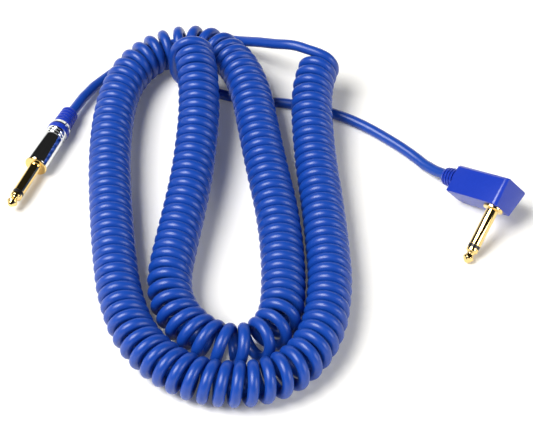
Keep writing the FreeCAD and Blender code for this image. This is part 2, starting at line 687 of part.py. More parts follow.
class Coil:
    """The coil's wire as a helix wound left-handed round the middle line."""

    def __init__(self):
        self.line = smooth_line(COIL_ROUTE)
        self.marks = [0.0]
        for before, after in zip(self.line, self.line[1:]):
            self.marks.append(self.marks[-1] + (after - before).Length)
        closed = COIL_END_PITCH * COIL_TURNS
        self.opening = (self.marks[-1] - closed) / (COIL_TURNS - COIL_CLOSING_TURNS)

    def travel(self, turn):
        """Distance along the middle line after a number of turns."""
        if turn > COIL_TURNS / 2:
            return self.marks[-1] - self.travel(COIL_TURNS - turn)
        if turn < COIL_CLOSING_TURNS:
            return COIL_END_PITCH * turn + self.opening * turn ** 2 / (2 * COIL_CLOSING_TURNS)
        return COIL_END_PITCH * turn + self.opening * (turn - COIL_CLOSING_TURNS / 2)

    def middle(self, distance):
        distance = min(max(distance, 0.0), self.marks[-1])
        index = min(bisect.bisect_right(self.marks, distance), len(self.marks) - 1)
        span = self.marks[index] - self.marks[index - 1]
        share = (distance - self.marks[index - 1]) / span
        return self.line[index - 1] * (1 - share) + self.line[index] * share

    def radius(self, turn):
        flare_start = COIL_TURNS - COIL_FLARE_TURNS
        share = max(0.0, (turn - flare_start) / COIL_FLARE_TURNS)
        return (COIL_D - JACKET_D) / 2 + COIL_FLARE * (1 - math.cos(math.pi * share)) / 2

    def point(self, turn):
        distance = self.travel(turn)
        ahead = self.middle(distance + LINE_REACH) - self.middle(distance - LINE_REACH)
        side = ahead.cross(Z_AXIS).normalize()
        up = side.cross(ahead).normalize()
        angle = math.radians(COIL_START_ANGLE) + 2 * math.pi * turn
        outward = side * math.cos(angle) + up * math.sin(angle)
        return self.middle(distance) + outward * self.radius(turn)

    def heading(self, turn):
        before = self.point(max(turn - TURN_STEP, 0.0))
        after = self.point(min(turn + TURN_STEP, COIL_TURNS))
        return (after - before).normalize()

    def least_gap(self):
        """Least gap between two stretches of the wire more than a half turn apart."""
        count = int(COIL_TURNS * GAP_SAMPLES)
        points = [self.point(index * COIL_TURNS / count) for index in range(count + 1)]
        apart = GAP_SAMPLES // 2
        return min(
            a.distanceToPoint(b)
            for index, a in enumerate(points) for b in points[index + apart:]
        ) - JACKET_D


def tangent_arc(start, heading, end):
    """An arc from start along heading to end, and its radius."""
    chord = end - start
    inward = heading.cross(chord).cross(heading).normalize()
    radius = chord.dot(chord) / (2 * chord.dot(inward))
    centre = start + inward * radius
    middle = (start + end) * 0.5 - centre
    return Part.Arc(start, centre + middle.normalize() * radius, end), radius


def biarc(start, heading, end, last_heading):
    """Two arcs that join two points and keep to the heading at each."""
    chord = end - start
    both = heading + last_heading
    a = 2 * (1 - heading.dot(last_heading))
    b = 2 * chord.dot(both)
    c = -chord.dot(chord)
    reach = (-b + math.sqrt(b * b - 4 * a * c)) / (2 * a)
    turn_in = start + heading * reach
    turn_out = end - last_heading * reach
    joint = (turn_in + turn_out) * 0.5
    return [
        tangent_arc(start, heading, joint),
        tangent_arc(joint, (turn_out - turn_in).normalize(), end),
    ]


def coil_ends(coil):
    """Both ends of the coil's wire with their headings, each one wire diameter past the turns."""
    first_heading = coil.heading(0)
    last_heading = coil.heading(COIL_TURNS)
    start = coil.point(0) - first_heading * JACKET_D
    end = coil.point(COIL_TURNS) + last_heading * JACKET_D
    return start, first_heading, end, last_heading


def coil_wire(coil):
    """The coil's wire as one tube on arcs, with a short straight end at each lead."""
    start, first_heading, end, _ = coil_ends(coil)
    edges = [Part.LineSegment(start, coil.point(0)).toShape()]
    radii = []
    count = round(BIARCS_PER_TURN * COIL_TURNS)
    for index in range(count):
        here = index * COIL_TURNS / count
        there = (index + 1) * COIL_TURNS / count
        pair = biarc(coil.point(here), coil.heading(here), coil.point(there), coil.heading(there))
        edges += [arc.toShape() for arc, _ in pair]
        radii += [radius for _, radius in pair]
    edges.append(Part.LineSegment(coil.point(COIL_TURNS), end).toShape())
    section = wire_section(JACKET_D, COIL_SIDES, start, first_heading)
    tube = tube_along("coil", Part.Wire(edges), section)
    print("    least radius %.1f, least gap %.2f" % (min(radii), coil.least_gap()))
    return tube


def cable():
    """Nodes of the cable: the coil and a lead to each plug."""
    coil = Coil()
    start, first_heading, end, last_heading = coil_ends(coil)
    clamp = STRAIGHT_SEAT.multVec(Vector(STRAIGHT_JACKET_START, 0, 0))
    bend = STRAIGHT_SEAT.multVec(Vector(STRAIGHT_LEAD_RUN, 0, 0))
    straight_points = [clamp, bend] + [Vector(*point) for point in STRAIGHT_LEAD_ROUTE]
    straight_points += [start - first_heading * STRAIGHT_LEAD_LAST_RUN, start]
    turn_y = -HOUSING_TO_CABLE_SIDE - NECK_SLEEVE_LENGTH - ANGLE_LEAD_LAST_RUN
    turn_down = ANGLE_SEAT.multVec(Vector(CABLE_SIDE_X, turn_y, CABLE_SIDE_Z))
    wall = ANGLE_SEAT.multVec(Vector(CABLE_SIDE_X, -CAVITY_TO_CABLE_SIDE, CABLE_SIDE_Z))
    angle_points = [end, end + last_heading * ANGLE_LEAD_FIRST_RUN]
    angle_points += [Vector(*point) for point in ANGLE_LEAD_ROUTE] + [turn_down, wall]
    return {
        "straight_lead": lead("straight_lead", straight_points),
        "coil": coil_wire(coil),
        "angle_lead": lead("angle_lead", angle_points),
    }


def main():
    nodes = {}
    nodes.update(straight_plug())
    nodes.update(angle_plug())
    nodes.update(cable())
    os.makedirs("parts", exist_ok=True)
    for name, shape in nodes.items():
        shape.exportStep("parts/" + name + ".step")


main()
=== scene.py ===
# %% [markdown]
# # A curly instrument cable
# The cable lies on a white table: one coil of blue cable folded into a double loop, a
# straight lead at each end of it, a straight plug on the left and a right-angle plug on the
# right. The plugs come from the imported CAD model. This lesson lays the real cable on the
# CAD model's route, gives the plugs their finer forms, and then finishes every surface.

# %% Load the CAD model
import json
import math
import bisect
import bpy
from mathutils import Euler, Matrix, Vector


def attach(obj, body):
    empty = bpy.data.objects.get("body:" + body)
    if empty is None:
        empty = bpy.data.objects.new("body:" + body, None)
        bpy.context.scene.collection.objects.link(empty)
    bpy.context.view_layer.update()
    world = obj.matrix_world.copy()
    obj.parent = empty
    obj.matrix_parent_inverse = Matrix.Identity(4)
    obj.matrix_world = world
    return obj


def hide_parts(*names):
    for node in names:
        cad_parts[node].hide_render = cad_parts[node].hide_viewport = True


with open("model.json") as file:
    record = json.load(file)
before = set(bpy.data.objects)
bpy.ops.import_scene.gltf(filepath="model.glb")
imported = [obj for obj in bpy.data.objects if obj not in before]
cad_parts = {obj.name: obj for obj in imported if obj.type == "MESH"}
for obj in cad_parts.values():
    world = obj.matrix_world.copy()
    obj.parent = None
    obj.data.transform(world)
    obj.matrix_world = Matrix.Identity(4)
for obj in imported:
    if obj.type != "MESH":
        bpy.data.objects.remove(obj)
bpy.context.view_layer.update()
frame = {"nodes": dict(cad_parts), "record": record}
nodes = frame["nodes"]
scene = bpy.context.scene
print("CAD nodes:", len(nodes))

# %% [markdown]
# The camera stands where the photographer's did: in front of the table, looking down at 48.5
# degrees. Its place comes from the two plugs, whose shafts have a known size, so the lens is
# long and the view is nearly flat. The camera comes first, because each later step is judged
# through it.

# %% Camera
CAMERA_AT = Vector((0.0013, -0.5756, 0.6247))
CAMERA_TILT = math.radians(41.5)
CAMERA_LENS = 105.68
SENSOR_WIDTH = 36

camera_data = bpy.data.cameras.new("photo_camera")
camera_data.lens = CAMERA_LENS
camera_data.sensor_width = SENSOR_WIDTH
camera_data.sensor_fit = "HORIZONTAL"
camera = bpy.data.objects.new("photo_camera", camera_data)
camera.location = CAMERA_AT
camera.rotation_euler = (CAMERA_TILT, 0, 0)
scene.collection.objects.link(camera)
scene.camera = camera

# %% [markdown]
# A curly cable is wound hot on a rod, so each turn lies tight against the next, and where the
# coil bends its turns stay in touch on the inside and open on the outside. The coil is one
# long helix. It needs a middle line to wind round, and a smooth NURBS line steered by a few
# dozen points is the simplest one to change later.

# %% Sizes and routes of the cable
CABLE_D = 0.0058
COIL_RADIUS = 0.00855
COIL_TURNS = 155.25
COIL_START_ANGLE = math.radians(90)
COIL_FLARE = 0.0019
COIL_FLARE_TURNS = 0.4
MIDDLE_RESOLUTION = 24
CABLE_RESOLUTION = 3
ANGLE_CABLE_DEPTH = -0.0094
ANGLE_CABLE_HEIGHT = 0.0009
STRAIGHT_SEAT = Matrix.Translation((-0.12445, 0.00984, 0.00635)) @ Euler(
    (0, 0, math.radians(69.43))).to_matrix().to_4x4()
ANGLE_SEAT = Matrix.Translation((0.1199, -0.0296, 0.01677)) @ Euler(
    (math.radians(25.67), math.radians(27.90), math.radians(-121.56))).to_matrix().to_4x4()
STRAIGHT_LEAD = [
    STRAIGHT_SEAT @ Vector((0.017, 0, 0)), STRAIGHT_SEAT @ Vector((0.058, 0, 0)),
    (-0.0905, 0.0845, 0.0030), (-0.0766, 0.0994, 0.0030), (-0.0624, 0.1094, 0.0030),
    (-0.0460, 0.1150, 0.0033), (-0.0285, 0.1140, 0.0060), (-0.0130, 0.1048, 0.0120),
    (-0.0035, 0.0968, 0.0188), (0.0067, 0.0885, 0.0245),
]
COIL_LINE = [
    (0.0317, 0.0770, 0.0195), (0.0279, 0.0656, 0.0186), (0.0262, 0.0490, 0.0172),
    (0.0266, 0.0281, 0.0150), (0.0281, 0.0046, 0.0129), (0.0307, -0.0215, 0.0119),
    (0.0327, -0.0505, 0.0116), (0.0338, -0.0792, 0.0116), (0.0288, -0.1096, 0.0116),
    (0.0140, -0.1316, 0.0116), (-0.0092, -0.1399, 0.0116), (-0.0375, -0.1353, 0.0116),
    (-0.0612, -0.1153, 0.0116), (-0.0722, -0.0863, 0.0116), (-0.0769, -0.0573, 0.0116),
    (-0.0807, -0.0252, 0.0116), (-0.0836, 0.0060, 0.0116), (-0.0842, 0.0379, 0.0116),
    (-0.0811, 0.0667, 0.0116), (-0.0708, 0.0890, 0.0116), (-0.0503, 0.1028, 0.0116),
    (-0.0278, 0.0992, 0.0130), (-0.0144, 0.0796, 0.0168), (-0.0072, 0.0563, 0.0180),
    (-0.0026, 0.0258, 0.0166), (0.0021, -0.0027, 0.0146), (0.0070, -0.0292, 0.0129),
    (0.0097, -0.0574, 0.0118), (0.0100, -0.0830, 0.0116), (0.0080, -0.0998, 0.0116),
    (-0.0002, -0.1118, 0.0116), (-0.0110, -0.1166, 0.0116), (-0.0238, -0.1146, 0.0116),
    (-0.0360, -0.1060, 0.0116), (-0.0450, -0.0925, 0.0116), (-0.0485, -0.0755, 0.0116),
    (-0.0457, -0.0526, 0.0118), (-0.0419, -0.0283, 0.0128), (-0.0385, -0.0044, 0.0148),
    (-0.0367, 0.0170, 0.0176), (-0.0356, 0.0376, 0.0206), (-0.0363, 0.0564, 0.0238),
    (-0.0379, 0.0700, 0.0256), (-0.0401, 0.0814, 0.0255),
]
ANGLE_LEAD = [
    (-0.0468, 0.0796, 0.0031), (-0.0365, 0.0752, 0.0030), (-0.0235, 0.0692, 0.0030),
    (-0.0090, 0.0650, 0.0030), (0.0040, 0.0637, 0.0030), (0.0173, 0.0618, 0.0030),
    (0.0348, 0.0565, 0.0030), (0.0518, 0.0479, 0.0030), (0.0678, 0.0352, 0.0030),
    (0.0818, 0.0220, 0.0030),
    ANGLE_SEAT @ Vector((ANGLE_CABLE_DEPTH, -0.0474, ANGLE_CABLE_HEIGHT)),
    ANGLE_SEAT @ Vector((ANGLE_CABLE_DEPTH, -0.0195, ANGLE_CABLE_HEIGHT)),
]


def nurbs_curve(name, points, resolution):
    """A smooth curve whose NURBS line is steered by the points."""
    curve = bpy.data.curves.new(name, "CURVE")
    curve.dimensions = "3D"
    curve.resolution_u = resolution
    spline = curve.splines.new("NURBS")
    spline.points.add(len(points) - 1)
    for spot, point in zip(spline.points, points):
        spot.co = (*point, 1)
    spline.order_u = 3
    spline.use_endpoint_u = True
    return bpy.data.objects.new(name, curve)


def points_along(curve_object):
    """The points of a bare curve's line, with the distance of each along it."""
    mesh = bpy.data.meshes.new_from_object(curve_object)
    points = [vertex.co.copy() for vertex in mesh.vertices]
    bpy.data.meshes.remove(mesh)
    marks = [0.0]
    for before, after in zip(points, points[1:]):
        marks.append(marks[-1] + (after - before).length)
    return points, marks


middle_curve = nurbs_curve("coil_middle", COIL_LINE, MIDDLE_RESOLUTION)
middle_points, middle_marks = points_along(middle_curve)
bpy.data.objects.remove(middle_curve)
middle_length = middle_marks[-1]
print("coil's middle line: %.0f mm" % (middle_length * 1000))

# %% [markdown]
# The helix takes its pitch from the bend it is in. A turn is one cable diameter from the next
# where they touch, on the inside of the bend, so the middle line moves on by more than that in
# a bend. Summing the turns in small steps gives the place of each turn, and the real coil's
# hundred and fifty-odd turns share the line with the same gap everywhere. The end of the last
# turn opens a little, because there the lead pulls it off the coil. A NURBS line runs inside
# its points, so they stand a little further out than the turns that they steer.

# %% Wind the coil
BEND_REACH = 0.008
TURN_POINTS = 12
PITCH_STEP = 0.0005
HEADING_REACH = 0.0015


def middle_at(distance):
    """The point of the middle line at a distance along it."""
    distance = min(max(distance, 0.0), middle_length)
    index = min(bisect.bisect_right(middle_marks, distance), len(middle_marks) - 1)
    span = middle_marks[index] - middle_marks[index - 1]
    share = (distance - middle_marks[index - 1]) / span
    return middle_points[index - 1].lerp(middle_points[index], share)


def heading_at(distance):
    """The direction of the middle line at a distance along it."""
    ahead = middle_at(distance + HEADING_REACH)
    behind = middle_at(distance - HEADING_REACH)
    return (ahead - behind).normalized()


def inside_share(distance):
    """How much of the middle line's length is left on the inside of its bend."""
    before = heading_at(max(distance - BEND_REACH / 2, 0.0))
    after = heading_at(min(distance + BEND_REACH / 2, middle_length))
    return 1 - COIL_RADIUS * before.angle(after) / BEND_REACH


steps = [index * PITCH_STEP for index in range(int(middle_length / PITCH_STEP) + 1)]
turn_marks = [0.0]
for distance in steps[1:]:
    turn_marks.append(turn_marks[-1] + inside_share(distance) * PITCH_STEP)
touching = turn_marks[-1] / COIL_TURNS
turn_marks = [mark / touching for mark in turn_marks]
print("turns are %.2f mm apart on the inside of a bend" % (touching * 1000))


def travel(turn):
    """Distance along the middle line at which the coil reaches a turn."""
    index = min(bisect.bisect_right(turn_marks, turn), len(turn_marks) - 1)
    share = (turn - turn_marks[index - 1]) / (turn_marks[index] - turn_marks[index - 1])
    return steps[index - 1] + share * PITCH_STEP


def coil_point(turn, radius):
    """The point of the helix at a turn, at a radius from the middle line."""
    distance = travel(turn)
    ahead = heading_at(distance)
    side = ahead.cross(Vector((0, 0, 1))).normalized()
    up = side.cross(ahead)
    angle = COIL_START_ANGLE + 2 * math.pi * turn
    return middle_at(distance) + (side * math.cos(angle) + up * math.sin(angle)) * radius


TANGENT_STEP = 0.01
coil_points = []
inward = math.cos(math.pi / TURN_POINTS)
for index in range(round(COIL_TURNS * TURN_POINTS) + 1):
    turn = index / TURN_POINTS
    opened = max(0.0, (turn - COIL_TURNS + COIL_FLARE_TURNS) / COIL_FLARE_TURNS)
    radius = COIL_RADIUS + COIL_FLARE * (1 - math.cos(math.pi * opened)) / 2
    coil_points.append(coil_point(turn, radius / inward))
flared = (COIL_RADIUS + COIL_FLARE) / inward
first_step = coil_point(TANGENT_STEP, COIL_RADIUS) - coil_point(0, COIL_RADIUS)
last_step = coil_point(COIL_TURNS, flared) - coil_point(COIL_TURNS - TANGENT_STEP, flared)
first_heading = first_step.normalized()
last_heading = last_step.normalized()
print("points on the helix:", len(coil_points))

# %% [markdown]
# The whole cable is one line: a lead, the helix and the other lead. The real jacket has no
# joint from plug to plug, so one NURBS line is closest to it. A bevel gives the line its round
# section, and the convert operator then makes it a mesh, like every other piece. The bare
# line comes first, because the cord's length is measured along it.

# %% Lay the cable
END_RUN = 0.0058
STRAIGHT_LEAD_LAST_RUN = 0.0109
ANGLE_LEAD_FIRST_RUN = 0.0100
BOOT_EXIT = 0.0448
CABLE_BEVEL_STEPS = 5

cable_route = [Vector(point) for point in STRAIGHT_LEAD]
cable_route.append(coil_points[0] - first_heading * (END_RUN + STRAIGHT_LEAD_LAST_RUN))
cable_route.append(coil_points[0] - first_heading * END_RUN)
cable_route += coil_points
cable_route.append(coil_points[-1] + last_heading * END_RUN)
cable_route.append(coil_points[-1] + last_heading * (END_RUN + ANGLE_LEAD_FIRST_RUN))
cable_route += [Vector(point) for point in ANGLE_LEAD]
bare_cable = nurbs_curve("cable_line", cable_route, CABLE_RESOLUTION)
cable_points, cable_marks = points_along(bare_cable)
bpy.data.objects.remove(bare_cable)

cable = nurbs_curve("curly_cable", cable_route, CABLE_RESOLUTION)
cable.data.bevel_depth = CABLE_D / 2
cable.data.bevel_resolution = CABLE_BEVEL_STEPS
cable.data.use_fill_caps = True
scene.collection.objects.link(cable)
bpy.ops.object.select_all(action="DESELECT")
cable.select_set(True)
bpy.context.view_layer.objects.active = cable
bpy.ops.object.convert(target="MESH")
bpy.ops.object.shade_smooth()
cable = bpy.context.object
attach(cable, "root")
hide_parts("straight_lead", "coil", "angle_lead")
print("cable faces:", len(cable.data.polygons))

# %% [markdown]
# Most of a phone plug comes off a lathe. In Blender a turned part is a circle that is extruded
# along its axis again and again, and made wider or narrower at each step, just as the cutting
# tool moves in and out. Each profile below is a list of places along the plug and radii there,
# in millimetres. A profile that ends where it began leaves a hole through the middle.

# %% A lathe for the turned pieces
MM = 0.001
LATHE_SIDES = 72
SMOOTH_BELOW = math.radians(32)
MERGE_DISTANCE = 0.000001


def on_lathe(name, profile, seat):
    """A turned piece, from (place, radius) pairs along the plug's axis."""
    hollow = profile[0] == profile[-1]
    place, radius = profile[0]
    bpy.ops.object.select_all(action="DESELECT")
    bpy.ops.mesh.primitive_circle_add(
        vertices=LATHE_SIDES, radius=radius * MM, fill_type="NOTHING" if hollow else "NGON",
        location=(place * MM, 0, 0), rotation=(0, math.pi / 2, 0))
    piece = bpy.context.object
    piece.name = name
    bpy.ops.object.mode_set(mode="EDIT")
    bpy.ops.mesh.select_all(action="SELECT")
    for next_place, next_radius in profile[1:]:
        bpy.ops.mesh.extrude_region()
        bpy.ops.transform.translate(value=((next_place - place) * MM, 0, 0))
        grow = next_radius / radius
        bpy.ops.transform.resize(
            value=(1, grow, grow), center_override=(next_place * MM, 0, 0))
        place, radius = next_place, next_radius
    bpy.ops.mesh.select_all(action="SELECT")
    bpy.ops.mesh.remove_doubles(threshold=MERGE_DISTANCE)
    bpy.ops.mesh.normals_make_consistent(inside=False)
    bpy.ops.object.mode_set(mode="OBJECT")
    bpy.ops.object.transform_apply(location=True, rotation=True, scale=True)
    piece.data.transform(seat)
    bpy.ops.object.shade_smooth_by_angle(angle=SMOOTH_BELOW)
    return piece


def dress(piece, node, body):
    """Lets a finished piece stand for its CAD node."""
    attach(piece, body)
    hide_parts(node)
    print(piece.name, "has", len(piece.data.polygons), "faces")
    return piece


# %% [markdown]
# The tip is the part that the spring in a jack catches: a blunt cone, a waist and a shoulder.
# It is turned from brass in one piece with the rod behind it. A black plastic ring keeps it
# apart from the sleeve. Both plugs have the same tip and ring, so one profile makes them all.
# The right-angle plug's turned pieces point the other way and start behind its collar.

# %% Tips and insulating rings
STRAIGHT_SHAFT = 30.5
ANGLE_SHAFT = 31.0
TIP_LENGTH = 8.4
RING_WIDTH = 1.8
RING_BORE = 1.25
ROD_RADIUS = 1.2
RIVET_RADIUS = 1.7
RIVET_HEIGHT = 0.8
STRAIGHT_ROD_END = 10.7
ANGLE_ROD_END = 6.7
COLLAR_THICKNESS = 1.5
ANGLE_CORE_SEAT = ANGLE_SEAT @ Matrix.Translation(
    (COLLAR_THICKNESS * MM, 0, 0)) @ Matrix.Rotation(math.pi, 4, "Z")
TIP_FORM = [
    (0, 0.3), (0.05, 0.8), (0.25, 1.15), (0.7, 1.6), (1.3, 2.05), (1.9, 2.48), (2.3, 2.76),
    (2.6, 2.9), (2.85, 2.93), (3.1, 2.85), (3.5, 2.6), (4.0, 2.28), (4.5, 2.02), (4.9, 1.91),
    (5.2, 1.9), (5.5, 1.98), (5.8, 2.22), (6.1, 2.62), (6.35, 2.95), (6.6, 3.12), (6.9, 3.175),
    (8.3, 3.175), (8.4, 3.08),
]


def tip_profile(shaft, rod_end):
    """A tip with its rod and rivet, for a shaft of a given length."""
    rivet = rod_end + shaft
    rod = [
        (TIP_LENGTH, ROD_RADIUS), (rivet, ROD_RADIUS), (rivet, RIVET_RADIUS),
        (rivet + RIVET_HEIGHT, RIVET_RADIUS),
    ]
    return [(place - shaft, radius) for place, radius in TIP_FORM + rod]


def ring_profile(shaft):
    """The insulating ring behind the tip, with its two edges broken."""
    start = TIP_LENGTH - shaft
    end = start + RING_WIDTH
    return [
        (start, RING_BORE), (start, 3.05), (start + 0.12, 3.15), (end - 0.12, 3.15),
        (end, 3.05), (end, RING_BORE), (start, RING_BORE),
    ]


straight_tip = dress(
    on_lathe("straight_tip", tip_profile(STRAIGHT_SHAFT, STRAIGHT_ROD_END), STRAIGHT_SEAT),
    "straight_tip_contact", "root")
straight_ring = dress(
    on_lathe("straight_tip_ring", ring_profile(STRAIGHT_SHAFT), STRAIGHT_SEAT),
    "straight_front_insulator", "root")
angle_tip = dress(
    on_lathe("angle_tip", tip_profile(ANGLE_SHAFT, ANGLE_ROD_END), ANGLE_CORE_SEAT),
    "angle_tip_contact", "root")
angle_ring = dress(
    on_lathe("angle_tip_ring", ring_profile(ANGLE_SHAFT), ANGLE_CORE_SEAT),
    "angle_front_insulator", "root")

# %% [markdown]
# The sleeve is the plug's other contact. The straight plug's sleeve has a wide flange with a
# rounded rim, and behind it a boss with a fine thread that the barrel screws onto. The thread
# is drawn as rings, because its slope is too small to see. The right-angle plug has a smaller
# collar, and its root is buried in the moulded housing.

# %% Sleeves
SHAFT_RADIUS = 3.175
SLEEVE_BORE = 1.95
FLANGE_THICKNESS = 1.3
THREAD_START = 1.7
THREAD_PITCH = 0.75
THREAD_TURNS = 8
THREAD_CREST = 5.08
THREAD_ROOT = 4.75
BOSS_END = 8.3
ANGLE_BOSS_END = 4.5
ANGLE_BOSS_RADIUS = 4.1

straight_front = TIP_LENGTH + RING_WIDTH - STRAIGHT_SHAFT
straight_form = [
    (straight_front, SLEEVE_BORE), (straight_front, 3.08), (straight_front + 0.1, SHAFT_RADIUS),
    (-0.5, SHAFT_RADIUS), (-0.2, 3.25), (-0.05, 3.45), (0, 3.8), (0, 5.55), (0.1, 5.9),
    (0.3, 6.17), (0.55, 6.33), (0.75, 6.33), (1.0, 6.17), (1.2, 5.95),
    (FLANGE_THICKNESS, 5.6), (FLANGE_THICKNESS, 4.8),
]
for turn in range(THREAD_TURNS):
    crest = THREAD_START + turn * THREAD_PITCH
    straight_form += [(crest, THREAD_CREST), (crest + THREAD_PITCH / 2, THREAD_ROOT)]
straight_form += [
    (BOSS_END, THREAD_ROOT), (BOSS_END, SLEEVE_BORE), (straight_front, SLEEVE_BORE),
]
straight_sleeve = dress(
    on_lathe("straight_shaft_sleeve", straight_form, STRAIGHT_SEAT),
    "straight_sleeve", "root")

angle_front = TIP_LENGTH + RING_WIDTH - ANGLE_SHAFT
angle_form = [
    (angle_front, SLEEVE_BORE), (angle_front, 3.08), (angle_front + 0.1, SHAFT_RADIUS),
    (-0.4, SHAFT_RADIUS), (-0.15, 3.28), (0, 3.6), (0, 4.9), (0.1, 5.18), (0.3, 5.37),
    (0.55, 5.45), (COLLAR_THICKNESS, 5.45), (COLLAR_THICKNESS, ANGLE_BOSS_RADIUS),
    (ANGLE_BOSS_END, ANGLE_BOSS_RADIUS), (ANGLE_BOSS_END, SLEEVE_BORE),
    (angle_front, SLEEVE_BORE),
]
angle_sleeve = dress(
    on_lathe("angle_shaft_sleeve", angle_form, ANGLE_CORE_SEAT),
    "angle_sleeve", "root")

# %% [markdown]
# The barrel is a chromed tube. Near its back end three beads give the fingers a hold, each
# full at its front and falling away behind, so that it catches the light from the far wall. A
# blue band sits in a groove behind them, and after a thin rim the tube necks down to the boot.
# Its inside is hollow, with a shoulder that pulls the boot along when the barrel is unscrewed.

# %% Barrel and grip band
BARREL_RADIUS = 6.0
BARREL_END = 33.3
BARREL_BORE = 5.3
THREAD_BORE = 5.15
THREAD_BORE_END = 6.3
BOOT_SEAT = 5.05
BOOT_SEAT_START = 25.45
BARREL_SHOULDER = 29.1
BARREL_MOUTH = 4.2
BEADS = 3
BEAD_WIDTH = 1.9
BEADS_START = 21.3
BEAD_FALL = [(0, 0), (0.3, 0), (0.7, 0.08), (1.82, 0.6)]
BAND_START = 27.2
BAND_END = 30.3
BAND_GROOVE = 5.65
BAND_BORE = 5.7

barrel_form = [
    (FLANGE_THICKNESS, THREAD_BORE), (FLANGE_THICKNESS, 5.8), (1.38, 5.94),
    (1.5, BARREL_RADIUS), (BEADS_START - 0.1, BARREL_RADIUS),
]
for bead in range(BEADS):
    start = BEADS_START + bead * BEAD_WIDTH
    barrel_form += [(start + place, BARREL_RADIUS - depth) for place, depth in BEAD_FALL]
barrel_form += [
    (BAND_START, BARREL_RADIUS), (BAND_START, BAND_GROOVE), (BAND_END, BAND_GROOVE),
    (BAND_END, BARREL_RADIUS), (30.38, 6.14), (30.55, 6.2), (30.95, 6.2), (31.12, 6.14),
    (31.2, BARREL_RADIUS), (31.3, 5.92), (33.05, 5.4), (33.2, 5.3), (BARREL_END, 5.1),
    (BARREL_END, BARREL_MOUTH), (BARREL_SHOULDER, BARREL_MOUTH), (BARREL_SHOULDER, BOOT_SEAT),
    (BOOT_SEAT_START, BOOT_SEAT), (BOOT_SEAT_START, BARREL_BORE),
    (THREAD_BORE_END, BARREL_BORE), (THREAD_BORE_END, THREAD_BORE),
    (FLANGE_THICKNESS, THREAD_BORE),
]
barrel = dress(
    on_lathe("barrel_shell", barrel_form, STRAIGHT_SEAT),
    "straight_barrel", "barrel")

band_form = [
    (BAND_START, BAND_BORE), (BAND_START, 5.95), (27.28, 6.12), (27.5, 6.23), (27.95, 6.23),
    (28.1, 6.08), (28.25, 6.23), (28.95, 6.25), (29.1, 6.1), (29.25, 6.25), (29.95, 6.23),
    (30.22, 6.12), (BAND_END, 5.95), (BAND_END, BAND_BORE), (BAND_START, BAND_BORE),
]
grip_band = dress(
    on_lathe("barrel_band", band_form, STRAIGHT_SEAT),
    "grip_band", "barrel")

# %% [markdown]
# The boot keeps the cable from kinking where it enters the plug. It is soft blue plastic with
# five ribs, each full at the front and falling away behind, with a narrow cut before the next.
# Its head is caught inside the barrel.

# %% Ribbed boot
BOOT_BORE = 3.25
BOOT_HEAD_START = 25.75
BOOT_HEAD_END = 28.95
BOOT_HEAD_RADIUS = 4.9
BOOT_WAIST = 4.05
BOOT_START = 33.6
BOOT_END = BOOT_EXIT / MM
BOOT_RIB_PITCH = 2.24
BOOT_RIB_RADII = (5.3, 5.2, 5.1, 5.0, 4.9)

boot_form = [
    (BOOT_HEAD_START, BOOT_BORE), (BOOT_HEAD_START, 4.75), (25.9, BOOT_HEAD_RADIUS),
    (28.8, BOOT_HEAD_RADIUS), (BOOT_HEAD_END, 4.75), (BOOT_HEAD_END, BOOT_WAIST),
    (BOOT_START, BOOT_WAIST),
]
for index, rib in enumerate(BOOT_RIB_RADII):
    start = BOOT_START + index * BOOT_RIB_PITCH
    boot_form += [
        (start + 0.02, rib - 0.7), (start + 0.08, rib - 0.3), (start + 0.25, rib - 0.08),
        (start + 0.5, rib), (start + 0.9, rib - 0.03), (start + 1.3, rib - 0.14),
        (start + 1.65, rib - 0.3), (start + 1.85, rib - 0.5), (start + 1.95, rib - 0.8),
        (start + 2.2, rib - 0.85),
    ]
boot_form += [
    (BOOT_END, 3.8), (BOOT_END, 3.35), (BOOT_END - 0.1, BOOT_BORE), (BOOT_HEAD_START, BOOT_BORE),
]
boot = dress(
    on_lathe("ribbed_boot", boot_form, STRAIGHT_SEAT),
    "straight_boot", "boot")

# %% [markdown]
# The right-angle plug's housing is one moulding: a block with a slanted underside, a bevel
# along its back, a chamfer at its far end and a rounded heel, and a ribbed neck where the cable
# enters. The block starts as a cube. Its edges are picked by their place and bevelled, one
# after another, and a last small bevel takes the sharpness off the rest.

# %% Housing of the right-angle plug
HOUSING_DEPTH = 15.8
HOUSING_TO_CABLE_SIDE = 28.4
HOUSING_TO_FAR_END = 5.7
HOUSING_TOP = 7.2
HOUSING_FRONT_BOTTOM = 7.4
HOUSING_BACK_BOTTOM = 11.4
BACK_BEVEL = 1.3
END_CHAMFER = 1.6
END_ROUND = 0.9
HEEL_ROUND = 4.5
UNDERSIDE_ROUND = 1.1
LAST_BEVEL = 0.3
LAST_BEVEL_ABOVE = math.radians(25)
NEAR = 0.02


def pick_edges(piece, chosen):
    """Selects the edges whose two ends both pass a test of their place in mm."""
    bpy.ops.object.mode_set(mode="OBJECT")
    bpy.context.tool_settings.mesh_select_mode = (False, True, False)
    mesh = piece.data
    mesh.vertices.foreach_set("select", [False] * len(mesh.vertices))
    mesh.polygons.foreach_set("select", [False] * len(mesh.polygons))
    for edge in mesh.edges:
        edge.select = all(chosen(mesh.vertices[index].co / MM) for index in edge.vertices)
    bpy.ops.object.mode_set(mode="EDIT")


def near(value, wanted):
    """Whether two places in mm are the same, but for rounding."""
    return abs(value - wanted) < NEAR


